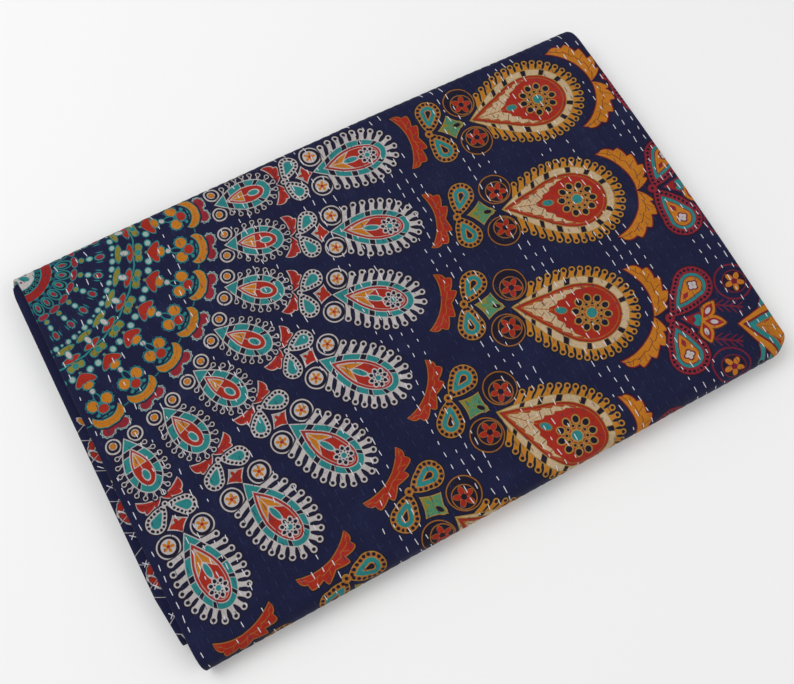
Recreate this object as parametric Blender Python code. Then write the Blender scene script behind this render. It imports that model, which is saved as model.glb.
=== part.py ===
# A hand-stitched kantha quilt, folded in four along each side and lying flat as a stack.
#
# Metres, +Z up. The stack rests on z = 0 with the middle of its box over the origin, +X runs
# along the long side of the panel that shows and +Y to its far side.
#
# The cloth is one sheet. Seen from the front it is folded into four plies, called A (on top),
# B, C and D: A and D join at the right in a wide turn, A and B at the left in a crease, B and C
# at the right in a narrow turn inside the wide one, and C and D end at the left in hems. That
# pack of four is folded again lengthwise into four passes in the same way: the bottom pass runs
# to the front, turns up in one round fold, comes back as the top pass, creases at the far side
# and makes two loose passes inside.

import math

import bmesh
import bpy
import numpy as np

# Cloth
PLY = 0.0014              # two cottons and a thin filling, stitched through
GAP = 0.0004              # air between two plies
PITCH = PLY + GAP         # sixteen plies of this pitch make the stack 28.4 mm high

# Folded panel, as it shows from above
PANEL_LENGTH = 0.572
PANEL_WIDTH = 0.376
HEM_D_INSET = 0.0005      # ply D's hem behind the left crease
HEM_C_INSET = 0.004
BOTTOM_HEM_INSET = 0.003  # the bottom pass's hem behind the far crease
INNER_HEM_INSET = 0.005
INNER_SETBACK = 0.032     # the inner fold's front behind the front fold

# How far each pass has slid, to the right and to the far side
SLIDE = {
    "bottom": (0.004, 0.0),
    "top": (0.0, 0.0),
    "upper inner": (-0.009, 0.0),
    "lower inner": (-0.001, -0.012),
}
SLIDE_EASE = 0.012        # length beyond a turn over which a slide dies out

# Rows of running stitch, pressed into the top panel as shallow furrows along Y
ROW_PITCH = 0.0095
ROW_DEPTH = 0.0004
ROW_END = 0.006           # the furrows fade this close to the folds

# Corners seen from above: side in X, side in Y, radius
CORNERS = (
    (1, 1, 0.009),
    (1, -1, 0.017),
    (-1, -1, 0.004),
)
FAR_EDGE_DROP = 0.004     # the far edge falls back towards its right end
RIGHT_EDGE_BULGE = 0.0015

# Soft rises and hollows of the stack: x, y, reach, share of the height
SWELLS = (
    (-0.286, -0.188, 0.075, -0.13),
    (0.286, -0.188, 0.085, -0.10),
    (-0.286, 0.188, 0.060, -0.06),
    (0.286, 0.188, 0.070, -0.07),
    (-0.120, 0.030, 0.110, 0.030),
    (0.130, -0.060, 0.120, 0.035),
    (0.020, 0.110, 0.080, -0.020),
    (-0.020, -0.130, 0.090, -0.025),
)

# Stations between the folds, those in X midway between two rows
X_STATIONS = tuple(row * ROW_PITCH for row in (-28, -17, -6, 6, 17, 28, 29))
Y_STATIONS = (-0.141, -0.061, 0.020, 0.097, 0.166)

MERGE = 0.000001          # points closer than this are one point

CLOTH_COLOUR = (0.020, 0.017, 0.075, 1.0)
CLOTH_ROUGHNESS = 0.88


def smooth_step(share):
    """0 below 0, 1 above 1, and an even S between them."""
    share = np.clip(share, 0.0, 1.0)
    return share * share * (3.0 - 2.0 * share)


def left_of(heading):
    """The direction to the left of a heading."""
    return np.array((-heading[1], heading[0]))


def walk(start, heading, legs):
    """Follow a folded line in a plane from start.

    A leg is ("run", stations), which goes on to each station along the first axis, or
    ("turn", radius, side, cuts), a half turn to the left (side 1) or to the right (side -1).
    Returns the points, the unit headings and the leg that each point belongs to.
    """
    points = [np.array(start, float)]
    headings = [np.array(heading, float)]
    leg_of = [0]
    for index, leg in enumerate(legs):
        here, facing = points[-1], headings[-1]
        if leg[0] == "run":
            for station in leg[1]:
                points.append(np.array((station, here[1])))
                headings.append(facing)
                leg_of.append(index)
            continue
        _, radius, side, cuts = leg
        centre = here + side * radius * left_of(facing)
        for step in range(1, cuts + 1):
            angle = side * math.pi * step / cuts
            spin = np.array(((math.cos(angle), -math.sin(angle)), (math.sin(angle), math.cos(angle))))
            points.append(centre + spin @ (here - centre))
            headings.append(spin @ facing)
            leg_of.append(index)
    return np.array(points), np.array(headings), np.array(leg_of)


def pack_section():
    """The four plies seen from the front, as a closed loop in (x, height in the pack).

    Height 0 is the middle of ply A, and the other plies lie below it. The loop runs along the
    printed face from hem to hem and comes back along the other face.
    """
    crease = PITCH / 2
    wide_turn = 3 * PITCH / 2
    left = -PANEL_LENGTH / 2 + crease + PLY / 2
    right = PANEL_LENGTH / 2 - wide_turn - PLY / 2
    to_right = list(X_STATIONS) + [right]
    to_left = list(reversed(X_STATIONS)) + [left]
    hem_c = -PANEL_LENGTH / 2 + HEM_C_INSET
    start = (-PANEL_LENGTH / 2 + HEM_D_INSET, -3 * PITCH)
    middle, heading, leg = walk(start, (1.0, 0.0), (
        ("run", to_right),
        ("turn", wide_turn, 1, 6),
        ("run", to_left),
        ("turn", crease, 1, 4),
        ("run", to_right),
        ("turn", crease, -1, 4),
        ("run", to_left[:-1] + [hem_c]),
    ))
    face = np.stack((heading[:, 1], -heading[:, 0]), axis=1) * PLY / 2
    return middle + face, middle - face, leg


def pass_line():
    """The way of ply A along the four passes, in (y, z), with its outward side and its slide."""
    front_turn = 15 * PITCH / 2
    far_turn = 7 * PITCH / 2
    inner_turn = PITCH / 2
    front = -PANEL_WIDTH / 2 + front_turn + PLY / 2
    far = PANEL_WIDTH / 2 - far_turn - PLY / 2
    inner = -PANEL_WIDTH / 2 + INNER_SETBACK + far_turn + PLY / 2
    to_far = list(Y_STATIONS)
    to_front = list(reversed(Y_STATIONS))
    start = (PANEL_WIDTH / 2 - BOTTOM_HEM_INSET, PLY / 2)
    line, heading, leg = walk(start, (-1.0, 0.0), (
        ("run", to_front + [front]),
        ("turn", front_turn, -1, 9),
        ("run", [front + ROW_END] + to_far + [far - ROW_END, far]),
        ("turn", far_turn, -1, 7),
        ("run", [far - SLIDE_EASE] + to_front[1:-1] + [inner]),
        ("turn", inner_turn, 1, 6),
        ("run", to_far[1:] + [PANEL_WIDTH / 2 - INNER_HEM_INSET]),
    ))
    outward = np.stack((-heading[:, 1], heading[:, 0]), axis=1)
    travelled = np.concatenate(((0.0,), np.cumsum(np.linalg.norm(np.diff(line, axis=0), axis=1))))
    slides = [np.array(SLIDE[name]) for name in ("bottom", "top", "upper inner", "lower inner")]
    slide = np.tile(slides[0], (len(line), 1))
    for turn, before, after in zip((1, 3, 5), slides, slides[1:]):
        start_of_turn = travelled[leg == turn].min() - SLIDE_EASE
        end_of_turn = travelled[leg == turn].max() + SLIDE_EASE
        share = smooth_step((travelled - start_of_turn) / (end_of_turn - start_of_turn))
        slide += share[:, None] * (after - before)
    return line, outward, slide, leg


def build_sheet(mesh):
    """Carry the section of the pack along the four passes as one closed grid of faces.

    Returns the faces of the panel that shows on top, ply A's printed side in the top pass.
    """
    face_side, back_side, ply_leg = pack_section()
    line, outward, slide, pass_leg = pass_line()
    section = np.concatenate((face_side, back_side[::-1]))
    rings = []
    for (y, z), (out_y, out_z), (slide_x, slide_y) in zip(line, outward, slide):
        ring = [
            mesh.verts.new((x + slide_x, y + height * out_y + slide_y, z + height * out_z))
            for x, height in section
        ]
        rings.append(ring)
    around = len(section)
    panel = []
    for k in range(len(rings) - 1):
        for j in range(around):
            following = (j + 1) % around
            face = mesh.faces.new((rings[k][j], rings[k][following],
                                   rings[k + 1][following], rings[k + 1][j]))
            on_ply_a = following < len(face_side) and ply_leg[following] == 2
            if on_ply_a and pass_leg[k + 1] == 2:
                panel.append(face)
    for ring in (rings[0], rings[-1]):
        for j in range(len(face_side) - 1):
            mesh.faces.new((ring[j], ring[j + 1], ring[around - 2 - j], ring[around - 1 - j]))
    return panel


def press_rows(mesh, panel):
    """Cut the top panel along every row of stitches and between them, then sink the rows.

    Rows lie at odd multiples of half the row pitch from the middle. The outer edges of the
    panel stay level, so the folds beside it keep their shape.
    """
    corners = np.array([vert.co for face in panel for vert in face.verts])
    low, high = corners.min(axis=0), corners.max(axis=0)
    half_pitch = ROW_PITCH / 2
    reach = int(min(-low[0], high[0]) / half_pitch)
    for index in range(-reach, reach + 1):
        edges = {edge for face in panel for edge in face.edges}
        verts = {vert for face in panel for vert in face.verts}
        parts = bmesh.ops.bisect_plane(
            mesh, geom=list(panel) + list(edges) + list(verts), dist=MERGE,
            plane_co=(index * half_pitch, 0.0, 0.0), plane_no=(1.0, 0.0, 0.0))
        panel = [part for part in parts["geom"] if isinstance(part, bmesh.types.BMFace)]
    for vert in {vert for face in panel for vert in face.verts}:
        line = round(vert.co.x / half_pitch)
        on_row = line % 2 == 1 and abs(vert.co.x - line * half_pitch) < 10 * MERGE
        if on_row and low[1] + MERGE < vert.co.y < high[1] - MERGE:
            vert.co.z -= ROW_DEPTH


def settle(points):
    """Bend the squared-up stack into the way it lies: soft corners, uneven edges and heights."""
    x, y, z = points.T.copy()
    across = np.clip(2 * x / PANEL_LENGTH, 0.0, 1.0)
    along = 2 * y / PANEL_WIDTH
    x_new = x + RIGHT_EDGE_BULGE * across ** 2 * (1.0 - np.clip(along ** 2, 0.0, 1.0))
    y_new = y - FAR_EDGE_DROP * smooth_step(across) * smooth_step(along)
    for side_x, side_y, radius in CORNERS:
        a = np.clip((side_x * x - PANEL_LENGTH / 2 + radius) / radius, 0.0, 1.0)
        b = np.clip((side_y * y - PANEL_WIDTH / 2 + radius) / radius, 0.0, 1.0)
        x_new -= side_x * radius * a * (1.0 - np.sqrt(1.0 - b * b / 2))
        y_new -= side_y * radius * b * (1.0 - np.sqrt(1.0 - a * a / 2))
    share = np.zeros_like(z)
    for middle_x, middle_y, reach, height in SWELLS:
        distance = np.hypot(x - middle_x, y - middle_y) / reach
        share += height * np.exp(-distance ** 2)
    return np.stack((x_new, y_new, z * (1.0 + share)), axis=1)


def cloth_material():
    material = bpy.data.materials.new("quilt_cotton")
    material.use_nodes = True
    shader = material.node_tree.nodes["Principled BSDF"]
    shader.inputs["Base Color"].default_value = CLOTH_COLOUR
    shader.inputs["Roughness"].default_value = CLOTH_ROUGHNESS
    shader.inputs["Metallic"].default_value = 0.0
    return material


def make_quilt():
    mesh = bmesh.new()
    panel = build_sheet(mesh)
    press_rows(mesh, panel)
    points = settle(np.array([vert.co for vert in mesh.verts]))
    middle = (points.min(axis=0) + points.max(axis=0)) / 2
    points[:, :2] -= middle[:2]
    for vert, point in zip(mesh.verts, points):
        vert.co = point
    bmesh.ops.triangulate(mesh, faces=mesh.faces[:])
    bmesh.ops.recalc_face_normals(mesh, faces=mesh.faces[:])
    data = bpy.data.meshes.new("quilt")
    mesh.to_mesh(data)
    mesh.free()
    data.shade_smooth()
    data.set_sharp_from_angle(angle=math.radians(50))
    data.materials.append(cloth_material())
    quilt = bpy.data.objects.new("quilt", data)
    bpy.context.scene.collection.objects.link(quilt)
    return quilt


for old in list(bpy.data.objects):
    bpy.data.objects.remove(old)
make_quilt()
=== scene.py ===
import math

import bpy
import numpy as np
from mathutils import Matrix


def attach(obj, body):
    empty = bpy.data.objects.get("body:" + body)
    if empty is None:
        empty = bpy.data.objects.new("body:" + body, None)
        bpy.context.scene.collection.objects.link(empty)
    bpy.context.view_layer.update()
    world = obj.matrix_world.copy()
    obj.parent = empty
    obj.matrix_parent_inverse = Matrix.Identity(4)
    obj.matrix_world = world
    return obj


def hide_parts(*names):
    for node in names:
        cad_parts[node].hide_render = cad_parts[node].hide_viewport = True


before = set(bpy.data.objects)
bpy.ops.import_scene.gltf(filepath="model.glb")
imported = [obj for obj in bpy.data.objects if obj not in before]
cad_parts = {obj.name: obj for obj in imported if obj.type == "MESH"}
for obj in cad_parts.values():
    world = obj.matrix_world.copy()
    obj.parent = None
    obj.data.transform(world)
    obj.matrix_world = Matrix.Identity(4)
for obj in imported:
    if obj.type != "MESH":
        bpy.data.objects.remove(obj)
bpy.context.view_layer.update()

# The cloth and its folds: plies A (top) to D of a pack run across, four passes run lengthwise.
quilt = dict(
    ply=0.0014, gap=0.0004, length=0.572, width=0.376,
    hemD=0.0005, hemC=0.004, bottomHem=0.003, innerHem=0.005, innerSetback=0.032,
    slide=((0.004, 0.0), (0.0, 0.0), (-0.009, 0.0), (-0.001, -0.012)), slideEase=0.012,
    rowPitch=0.0095, rowDepth=0.00045, stitchPeriod=0.0112, furrowMiddle=0.285, furrowReach=0.31,
    # which corner, and its radius
    corners=((1, 1, 0.009), (1, -1, 0.017), (-1, -1, 0.004)), farDrop=0.004, bulge=0.0015,
    # x, y, reach, share of the height
    swells=((-0.286, -0.188, 0.075, -0.13), (0.286, -0.188, 0.085, -0.10),
            (-0.286, 0.188, 0.060, -0.06), (0.286, 0.188, 0.070, -0.07),
            (-0.120, 0.030, 0.110, 0.030), (0.130, -0.060, 0.120, 0.035),
            (0.020, 0.110, 0.080, -0.020), (-0.020, -0.130, 0.090, -0.025)),
    fineStep=0.002375, fineStepY=0.0034, coarseStep=0.028, hemReach=0.012, nearStep=0.003, easeStep=0.004,
)
pitch = quilt["ply"] + quilt["gap"]
halfPly, halfLength, halfWidth = quilt["ply"] / 2, quilt["length"] / 2, quilt["width"] / 2


def smoothStep(share):
    # 0 below 0, 1 above 1, 3s^2 - 2s^3 between
    share = np.clip(share, 0.0, 1.0)
    return share * share * (3.0 - 2.0 * share)


def evenly(start, *stretches):
    # points after start through each stretch (end, step), about a step apart
    parts = []
    for end, step in stretches:
        count = max(1, int(round(abs(end - start) / step)))
        parts.append(np.linspace(start, end, count + 1)[1:])
        start = end
    return np.concatenate(parts)


def walkLine(start, heading, legs):
    # a leg is an array of stations along the first axis, or a half turn (radius, side, cuts);
    # gives points, unit headings, the leg of each point and the way travelled
    points, headings, legOf = [np.array(start)], [np.array(heading)], [0]
    for index, leg in enumerate(legs):
        here, facing = points[-1], headings[-1]
        if isinstance(leg, np.ndarray):
            points += [np.array((station, here[1])) for station in leg]
            headings += [facing] * len(leg)
            legOf += [index] * len(leg)
            continue
        radius, side, cuts = leg
        centre = here + side * radius * np.array((-facing[1], facing[0]))
        for angle in side * math.pi * np.arange(1, cuts + 1) / cuts:
            spin = np.array(((math.cos(angle), -math.sin(angle)), (math.sin(angle), math.cos(angle))))
            points.append(centre + spin @ (here - centre))
            headings.append(spin @ facing)
            legOf.append(index)
    points = np.array(points)
    way = np.concatenate(((0.0,), np.cumsum(np.linalg.norm(np.diff(points, axis=0), axis=1))))
    return points, np.array(headings), np.array(legOf), way


def packSection(fineA):
    # the pack seen from the front as (x, height): hem, ply D, wide turn, ply A, crease, ply B,
    # narrow turn, ply C, hem; ply A is cut finely on the printed side only
    wideTurn, crease = 1.5 * pitch, 0.5 * pitch
    left, right = -halfLength + crease + halfPly, halfLength - wideTurn - halfPly
    coarse, fine = quilt["coarseStep"], quilt["fineStep"]
    alongA = evenly(right, (left, coarse))
    if fineA:
        reach = int(right / fine)
        alongA = np.concatenate((np.arange(reach, -reach - 1, -1) * fine, (left,)))
    hemD = -halfLength + quilt["hemD"]
    return walkLine((hemD, -3 * pitch), (1.0, 0.0), (
        evenly(hemD, (hemD + quilt["hemReach"], quilt["nearStep"]), (right, coarse)), (wideTurn, 1, 10),
        alongA, (crease, 1, 8), evenly(left, (right, coarse)), (crease, -1, 6),
        evenly(right, (-halfLength + quilt["hemC"], coarse))))


def passLine():
    # ply A's way along the four passes as (y, z), its outward side and how far each point slides
    frontTurn, farTurn, innerTurn = 7.5 * pitch, 3.5 * pitch, 0.5 * pitch
    front = -halfWidth + frontTurn + halfPly
    far = halfWidth - farTurn - halfPly
    inner = -halfWidth + quilt["innerSetback"] + farTurn + halfPly
    ease, coarse, near = quilt["slideEase"], quilt["coarseStep"], quilt["easeStep"]
    start = (halfWidth - quilt["bottomHem"], halfPly)
    line, heading, leg, way = walkLine(start, (-1.0, 0.0), (
        evenly(start[0], (front + ease, coarse), (front, near)), (frontTurn, -1, 20),
        evenly(front, (far, quilt["fineStepY"])), (farTurn, -1, 14),
        evenly(far, (far - ease, quilt["nearStep"]), (inner, coarse)), (innerTurn, 1, 12),
        evenly(inner, (inner + ease, near), (halfWidth - quilt["innerHem"], coarse))))
    slides = np.array(quilt["slide"])
    slide = np.tile(slides[0], (len(line), 1))
    for turn, before, after in zip((1, 3, 5), slides, slides[1:]):
        turnStart = way[leg == turn].min() - ease
        turnEnd = way[leg == turn].max() + ease
        slide += smoothStep((way - turnStart) / (turnEnd - turnStart))[:, None] * (after - before)
    return line, heading[:, ::-1] * (-1, 1), slide, leg, way


def settle(x, y, z):
    # the squared-up stack bent into the way it lies: corners, edges and heights
    across, along = np.clip(x / halfLength, 0.0, 1.0), y / halfWidth
    newX = x + quilt["bulge"] * across ** 2 * (1.0 - np.clip(along ** 2, 0.0, 1.0))
    newY = y - quilt["farDrop"] * smoothStep(across) * smoothStep(along)
    for sideX, sideY, radius in quilt["corners"]:
        a = np.clip((sideX * x - halfLength + radius) / radius, 0.0, 1.0)
        b = np.clip((sideY * y - halfWidth + radius) / radius, 0.0, 1.0)
        newX = newX - sideX * radius * a * (1.0 - np.sqrt(1.0 - b * b / 2))
        newY = newY - sideY * radius * b * (1.0 - np.sqrt(1.0 - a * a / 2))
    share = np.zeros_like(z)
    for middleX, middleY, reach, height in quilt["swells"]:
        share += height * np.exp(-((x - middleX) ** 2 + (y - middleY) ** 2) / reach ** 2)
    return newX, newY, z * (1.0 + share)


chance = np.random.default_rng(27)
waves = [(chance.uniform(25, 90), chance.uniform(15, 60), chance.uniform(0, 6.28), chance.uniform(0, 6.28))
         for _ in range(7)]


def rowShift(row):
    # where along its period each row of stitches begins, as a turn
    return 2.4 * np.sin(12.9898 * row)


def pucker(flatX, flatY):
    # how far the stitching draws the printed side in: a furrow along each row, deeper under each
    # stitch, times slow unevenness, 0 at its highest
    row = flatX / quilt["rowPitch"]
    furrow = (0.5 - 0.5 * np.cos(2 * np.pi * row)) ** 1.4
    stitch = 0.75 + 0.25 * np.cos(2 * np.pi * flatY / quilt["stitchPeriod"] + rowShift(np.floor(row)))
    slow = sum(np.sin(a * flatX + p) * np.sin(b * flatY + q) for a, b, p, q in waves) / len(waves)
    return -quilt["rowDepth"] * (furrow * stitch * (1.0 + 0.9 * slow) + 0.35 + 0.7 * slow)


def addObject(name, data):
    # an object at the origin
    piece = bpy.data.objects.new(name, data)
    bpy.context.scene.collection.objects.link(piece)
    return piece


def meshObject(name, points, faces, smooth=True):
    # a mesh from an array of points and a list of faces
    data = bpy.data.meshes.new(name)
    data.from_pydata(points.tolist(), [], faces)
    data.update()
    data.polygons.foreach_set("use_smooth", np.full(len(data.polygons), smooth))
    return addObject(name, data)


def cornerPoints(data):
    # the point that each face corner lies on
    loops = np.empty(len(data.loops), int)
    data.loops.foreach_get("vertex_index", loops)
    return loops


def addPlan(data, name, *places):
    # a UV map from U and V at each face corner
    plan = data.uv_layers.new(name=name)
    plan.data.foreach_set("uv", np.stack(places, axis=1).ravel().astype(np.float32))
    return plan


def addValue(data, name, values):
    # a number for each point
    data.attributes.new(name, "FLOAT", "POINT").data.foreach_set("value", values.ravel().astype(np.float32))


def makeCloth():
    # the section of the pack carried along the four passes, face side first and back side after it
    face, faceHeading, faceLeg, faceWay = packSection(True)
    back, backHeading, backLeg, backWay = packSection(False)
    line, outward, slide, passLeg, passWay = passLine()
    creaseWay = faceWay[faceLeg == 3].mean()
    flatFace, flatBack = creaseWay - faceWay, backWay[backLeg == 3].mean() - backWay
    flatPass = passWay - passWay[passLeg == 3].mean()
    # stations across are counted from the panel's middle, so that furrows lie on stations
    middleA = creaseWay - faceWay[faceLeg == 2][np.argmin(np.abs(face[faceLeg == 2][:, 0]))]
    ends = smoothStep((flatFace - flatFace.min()) / 0.01) * smoothStep((flatFace.max() - flatFace) / 0.01)
    relief = pucker(flatFace - middleA, flatPass[:, None]) * ends
    relief = relief * (np.abs(flatFace - quilt["furrowMiddle"]) < quilt["furrowReach"])
    around = np.concatenate((face, back[::-1]))
    out = np.concatenate((faceHeading[:, ::-1] * (1, -1), (backHeading[:, ::-1] * (-1, 1))[::-1]))
    reach = halfPly + np.hstack((relief, np.zeros((len(line), len(back)))))
    height = around[:, 1] + out[:, 1] * reach
    x = around[:, 0] + out[:, 0] * reach + slide[:, :1]
    y = line[:, :1] + height * outward[:, :1] + slide[:, 1:]
    x, y, z = settle(x, y, line[:, 1:] + height * outward[:, 1:])
    x -= (x.min() + x.max()) / 2
    y -= (y.min() + y.max()) / 2
    points = np.stack((x, y, np.maximum(z, 0.0)), axis=2)
    rings, count = points.shape[:2]
    k, j = np.arange(rings - 1)[:, None] * count, np.arange(count)
    nextJ = (j + 1) % count
    quads = np.stack((k + count + j, k + count + nextJ, k + nextJ, k + j), axis=2)
    faces = quads.reshape(-1, 4).tolist() + [list(range(count))]
    faces.append(list(range((rings - 1) * count, rings * count))[::-1])
    cloth = meshObject("quilt_cloth", points.reshape(-1, 3), faces)
    isBack = np.concatenate((np.zeros(len(face)), np.ones(len(back))))
    addMaps(cloth.data, np.concatenate((flatFace, flatBack[::-1])), flatPass, isBack)
    return cloth, dict(points=points[:, :len(face)][:, ::-1], flatX=flatFace[::-1], flatY=flatPass,
                       middle=middleA)


def addMaps(data, flatX, flatY, isBack):
    # flatCloth holds the place on the opened-out cloth from its middle, in metres; OFBake gives
    # most of a square to the panel that shows; the attribute backSide is 1 on the unprinted side
    loops = cornerPoints(data)
    across, along = loops % len(flatX), loops // len(flatX)
    plan = addPlan(data, "flatCloth", flatX[across], flatY[along])
    wide = np.array((flatX.min(), -0.004, quilt["length"] + 0.002, flatX.max()))
    bakeX = np.where(isBack[across] > 0.5,
                     0.955 + 0.04 * (flatX[across] - wide[0]) / (wide[3] - wide[0]),
                     np.interp(flatX[across], wide, (0.005, 0.065, 0.885, 0.945)))
    deep = np.array((flatY.min(), -0.420, -quilt["width"] - 0.005, 0.0, flatY.max()))
    addPlan(data, "OFBake", bakeX, np.interp(flatY[along], deep, (0.005, 0.075, 0.14, 0.925, 0.995)))
    data.uv_layers.active = plan
    addValue(data, "backSide", np.tile(isBack, len(flatY)))


cloth, clothGrid = makeCloth()
print("cloth made,", len(cloth.data.polygons), "faces")

# The dyes of the print, in sRGB shares of 255
dyes = dict(
    navy=(19, 23, 54), night=(21, 17, 33), teal=(36, 120, 120), deepTeal=(16, 78, 94),
    red=(152, 36, 16), crimson=(108, 22, 38), mustard=(180, 110, 18), gold=(146, 92, 34),
    amber=(158, 96, 30), cream=(176, 170, 168), sand=(184, 160, 126), pale=(142, 166, 160),
    olive=(124, 116, 40), leaf=(66, 124, 92), plain=(24, 26, 58), white=(226, 224, 230),
    blue=(30, 36, 78), faded=(84, 90, 120), berry=(132, 32, 42), umber=(96, 38, 22),
    # brick is red darkened as painted shade: on the medallion's red ring it stands in for the shade of the
    # cloth sloping over the folded corner; elsewhere it is used as a dark red
    khaki=(158, 122, 54), brick=(138, 28, 22), plum=(36, 16, 50),
)


def linearShade(name):
    # sRGB to linear light, as a colour socket takes it
    shares = np.array(dyes[name]) / 255.0
    linear = np.where(shares > 0.04045, ((shares + 0.055) / 1.055) ** 2.4, shares / 12.92)
    return tuple(float(share) for share in linear) + (1.0,)


def feed(tree, socket, value):
    # a linked value or a fixed one into a socket
    if isinstance(value, Flow):
        tree.links.new(value.socket, socket)
    else:
        socket.default_value = value


def addNode(tree, kind, inputs=(), **settings):
    # a shader node with its settings, fed in order or by the inputs' names; gives its outputs
    node = tree.nodes.new("ShaderNode" + kind)
    for name, value in settings.items():
        setattr(node, name, value)
    for key, value in inputs.items() if isinstance(inputs, dict) else enumerate(inputs):
        feed(tree, node.inputs[key], value)
    return [Flow(tree, socket) for socket in node.outputs]


def asMethod(operation):
    # one operation of the Math node as a method
    return lambda flow, *others: flow.maths(operation, *others)


class Flow:
    # a value running through a node tree, so that a formula can be written out as one
    def __init__(self, tree, socket):
        self.tree, self.socket = tree, socket

    def maths(self, operation, *others, clamp=False):
        return addNode(self.tree, "Math", (self,) + others, operation=operation, use_clamp=clamp)[0]

    __add__, __sub__, __mul__, __truediv__ = map(asMethod, ("ADD", "SUBTRACT", "MULTIPLY", "DIVIDE"))
    power, most, least, turnFrom = map(asMethod, ("POWER", "MAXIMUM", "MINIMUM", "ARCTAN2"))
    root, sine, cosine, size, fraction = map(asMethod, ("SQRT", "SINE", "COSINE", "ABSOLUTE", "FRACT"))
    over, under = map(asMethod, ("GREATER_THAN", "LESS_THAN"))

    def __neg__(self):
        return self * -1.0

    def within(self, low=0.0, high=1.0):
        return self.most(low).least(high)

    def toNearest(self, step):
        # how far the value is from the nearest whole number of steps
        return self.maths("PINGPONG", step * 0.5)


def hypot(x, y, weight=None):
    # the root of x^2 + y^2, or of x^2 + weight y^2
    return (x * x + (y * y if weight is None else y * y * weight)).root()


def openGroup(name, takes, gives="colour"):
    # an empty node group; takes and gives list its sockets, which are numbers if not named here
    kinds = dict.fromkeys(("below", "colour", "line", "rimShade", "flame"), "Color")
    kinds["place"] = "Vector"
    group = bpy.data.node_groups.new(name, "ShaderNodeTree")
    for way, labels in (("INPUT", takes), ("OUTPUT", gives)):
        for label in labels.split():
            kind = "NodeSocket" + kinds.get(label, "Float")
            group.interface.new_socket(label, in_out=way, socket_type=kind)
    entry = group.nodes.new("NodeGroupInput")
    return group, [Flow(group, entry.outputs[label]) for label in takes.split()]


def closeGroup(group, *results):
    # the group, with its results in the order of its outputs
    leave = group.nodes.new("NodeGroupOutput")
    for index, result in enumerate(results):
        feed(group, leave.inputs[index], result)
    return group


def useGroup(group, *values):
    # one use of a group in the tree of its first value; gives its outputs
    outputs = addNode(values[0].tree, "Group", values, node_tree=group)
    return outputs[0] if len(outputs) == 1 else outputs


def mixShade(share, below, above):
    # one colour over another by a share s: below (1 - s) + above s
    above = linearShade(above) if isinstance(above, str) else above
    return addNode(share.tree, "Mix", {"Factor": share, 6: below, 7: above}, data_type="RGBA")[2]


printReach = 1100.0  # how far from the middle the rings' tables run, in millimetres


class Motif:
    # a node group under way, in which dyes are laid one by one over the colour below; its table's
    # columns of sizes and dyes are read in the row of the ring that a point lies in
    def __init__(self, name, takes="along across below", gives="colour", table=None, reach=printReach):
        self.group, flows = openGroup(name, takes, gives)
        self.colour = flows.pop(takes.split().index("below"))
        self.takes, self.table, self.reach = flows, table or {}, reach
        if table:
            self.place = flows[0] / reach

    def ramp(self, colours):
        # a constant colour ramp over the distance from the middle: one stop for each row
        node = self.group.nodes.new("ShaderNodeValToRGB")
        node.color_ramp.interpolation = "CONSTANT"
        stops = node.color_ramp.elements
        while len(stops) > 1:
            stops.remove(stops[-1])
        stops[0].position = 0.0
        stops[0].color = colours[0]
        for limit, colour in zip(self.table["upTo"], colours[1:]):
            stops.new(limit / self.reach).color = colour
        feed(self.group, node.inputs[0], self.place)
        return Flow(self.group, node.outputs[0])

    def sizes(self, columns):
        # up to three columns of sizes, carried as a colour
        columns = [self.table[column] for column in columns.split()]
        blanks = (0.0,) * (3 - len(columns)) + (1.0,)
        shares = self.ramp([tuple(value / 1000.0 for value in row) + blanks for row in zip(*columns)])
        scaled, _ = addNode(self.group, "VectorMath", {0: shares, "Scale": 1000.0}, operation="SCALE")
        flows = addNode(self.group, "SeparateXYZ", (scaled,))[:len(columns)]
        return flows if len(flows) > 1 else flows[0]

    def column(self, name):
        # a column of dyes
        return self.ramp([linearShade(dye) for dye in self.table[name].split()])

    def lay(self, distance, shade, edge=0.4):
        # a dye, by its name or its column, where the distance to its outline in millimetres is
        # negative, with a soft edge
        if isinstance(shade, str) and shade in self.table:
            shade = self.column(shade)
        share = distance.maths("MULTIPLY_ADD", -1.0 / edge, 0.5, clamp=True)
        self.colour = mixShade(share, self.colour, shade)

    def close(self, *others):
        return closeGroup(self.group, self.colour, *others)


heartLength = 104.0  # how long a feather the outer rings' heart is drawn for

# Rings of feathers from the middle out, in millimetres along their sector's axis
feathers = dict(
    upTo=(256, 400, 600, 850), tip=(179.5, 274, 431.5, 633, 925), length=(53.2, 72, 106, 155, 215),
    half=(14.5, 18, 35.2, 50, 72), blunt=(1, 1, 1, 0.95, 0.95), band=(6, 5.5, 6.8, 6.8, 14),
    opening=(1, 1, 0.05, 0.4, 0.15), loopOut=(4.7, 8.4, 7, 11, 16), loopRadius=(2.2, 2.9, 2.9, 3.9, 5.6),
    neck=(0.6, 1.5, 1.6, 1.8, 2.6), flare=(0.5, 0.9, 1.3, 1.4, 2), loopPitch=(7.6, 9, 7.7, 11.3, 15.8),
    loopPhase=(0.5, 0, 0, 0, 0), loopLast=(8.4, 9.4, 16.4, 16.4, 16.4), darkFirst=(20, 18, 20, 29, 41),
    darkPitch=(17.5, 20.3, 23, 33.6, 46.7), darkHalf=(2.3, 2.5, 2.8, 4.1, 5.7),
    shoulder=(0.6, 0.6, 0.64, 0.6, 0.6), crowdFrom=(200, 200, 90, 131, 183),
    crowdBy=(0.01, 0.01, 0.55, 0.55, 0.55), standBy=(0.1, 0.8, 0.8, 0.6, 0.6),
    darkUpTo=(0.06, 0.06, 0.12, 0.36, 0.12), line="cream cream khaki crimson cream",
    fill="teal teal sand mustard teal", loop="navy cream mustard teal cream",
)


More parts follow.
